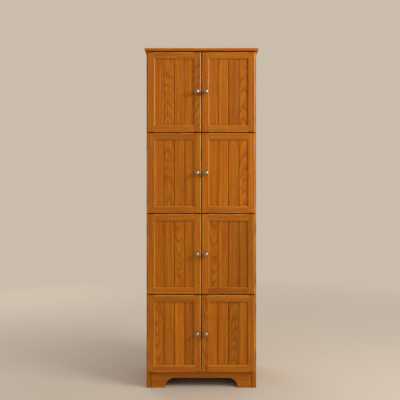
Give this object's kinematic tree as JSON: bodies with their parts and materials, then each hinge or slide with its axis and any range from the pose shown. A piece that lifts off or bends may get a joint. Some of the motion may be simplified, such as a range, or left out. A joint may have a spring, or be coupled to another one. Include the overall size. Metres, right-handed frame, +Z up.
{
  "type": "tall storage cabinet",
  "caption": "Tall free-standing oak storage cabinet with stacked pairs of planked frame doors on pin hinges, shelves inside, a moulded top and an arched apron.",
  "frame": {"origin": "on the floor under the middle of the cabinet's box, halfway from the back to the knobs", "axes": "+Z up, -Y out of the doors, +X to the right of someone facing the doors"},
  "size_m": [0.608, 0.4278, 1.828],
  "materials": {
    "oak": "golden oak stain, satin lacquer",
    "oak_ply": "thin plywood, lightly sealed",
    "beech": "bare beech",
    "nickel": "brushed nickel, warm and slightly dulled",
    "hinge_steel": "plated steel",
    "magnet_steel": "ground steel pole pieces",
    "catch_plastic": "moulded brown plastic"
  },
  "bodies": {
    "carcass": {"left_side": "oak", "right_side": "oak", "carcass_top": "oak", "cornice_top": "oak", "bottom_shelf": "oak", "lower_fixed_shelf": "oak", "middle_fixed_shelf": "oak", "upper_fixed_shelf": "oak", "adjustable_shelves": "oak", "back_panel": "oak_ply", "apron": "oak", "wall_rail": "oak", "corner_blocks": "oak", "shelf_pegs": "nickel", "catch_bodies": "catch_plastic", "catch_magnets": "magnet_steel", "hinge_frame_leaves": "hinge_steel", "hinge_pins": "hinge_steel", "joint_dowels": "beech", "carcass_screws": "hinge_steel"},
    "bottom_left_door": {"bottom_left_door_frame": "oak", "bottom_left_door_panel": "oak", "bottom_left_door_knob": "nickel", "bottom_left_door_hinge_leaves": "hinge_steel", "bottom_left_door_strike_plate": "hinge_steel"},
    "bottom_right_door": {"bottom_right_door_frame": "oak", "bottom_right_door_panel": "oak", "bottom_right_door_knob": "nickel", "bottom_right_door_hinge_leaves": "hinge_steel", "bottom_right_door_strike_plate": "hinge_steel"},
    "lower_left_door": {"lower_left_door_frame": "oak", "lower_left_door_panel": "oak", "lower_left_door_knob": "nickel", "lower_left_door_hinge_leaves": "hinge_steel", "lower_left_door_strike_plate": "hinge_steel"},
    "lower_right_door": {"lower_right_door_frame": "oak", "lower_right_door_panel": "oak", "lower_right_door_knob": "nickel", "lower_right_door_hinge_leaves": "hinge_steel", "lower_right_door_strike_plate": "hinge_steel"},
    "upper_left_door": {"upper_left_door_frame": "oak", "upper_left_door_panel": "oak", "upper_left_door_knob": "nickel", "upper_left_door_hinge_leaves": "hinge_steel", "upper_left_door_strike_plate": "hinge_steel"},
    "upper_right_door": {"upper_right_door_frame": "oak", "upper_right_door_panel": "oak", "upper_right_door_knob": "nickel", "upper_right_door_hinge_leaves": "hinge_steel", "upper_right_door_strike_plate": "hinge_steel"},
    "top_left_door": {"top_left_door_frame": "oak", "top_left_door_panel": "oak", "top_left_door_knob": "nickel", "top_left_door_hinge_leaves": "hinge_steel", "top_left_door_strike_plate": "hinge_steel"},
    "top_right_door": {"top_right_door_frame": "oak", "top_right_door_panel": "oak", "top_right_door_knob": "nickel", "top_right_door_hinge_leaves": "hinge_steel", "top_right_door_strike_plate": "hinge_steel"}
  },
  "joints": [
    {"name": "bottom_left_door_hinge", "type": "hinge", "parent": "carcass", "child": "bottom_left_door", "pos_m": [-0.2925, -0.16985, 0.298], "axis": [0, 0, -1], "range_deg": [0, 170]},
    {"name": "bottom_right_door_hinge", "type": "hinge", "parent": "carcass", "child": "bottom_right_door", "pos_m": [0.2925, -0.16985, 0.298], "axis": [0, 0, 1], "range_deg": [0, 170]},
    {"name": "lower_left_door_hinge", "type": "hinge", "parent": "carcass", "child": "lower_left_door", "pos_m": [-0.2925, -0.16985, 0.724], "axis": [0, 0, -1], "range_deg": [0, 170]},
    {"name": "lower_right_door_hinge", "type": "hinge", "parent": "carcass", "child": "lower_right_door", "pos_m": [0.2925, -0.16985, 0.724], "axis": [0, 0, 1], "range_deg": [0, 170]},
    {"name": "upper_left_door_hinge", "type": "hinge", "parent": "carcass", "child": "upper_left_door", "pos_m": [-0.2925, -0.16985, 1.159], "axis": [0, 0, -1], "range_deg": [0, 170]},
    {"name": "upper_right_door_hinge", "type": "hinge", "parent": "carcass", "child": "upper_right_door", "pos_m": [0.2925, -0.16985, 1.159], "axis": [0, 0, 1], "range_deg": [0, 170]},
    {"name": "top_left_door_hinge", "type": "hinge", "parent": "carcass", "child": "top_left_door", "pos_m": [-0.2925, -0.16985, 1.594], "axis": [0, 0, -1], "range_deg": [0, 170]},
    {"name": "top_right_door_hinge", "type": "hinge", "parent": "carcass", "child": "top_right_door", "pos_m": [0.2925, -0.16985, 1.594], "axis": [0, 0, 1], "range_deg": [0, 170]}
  ]
}
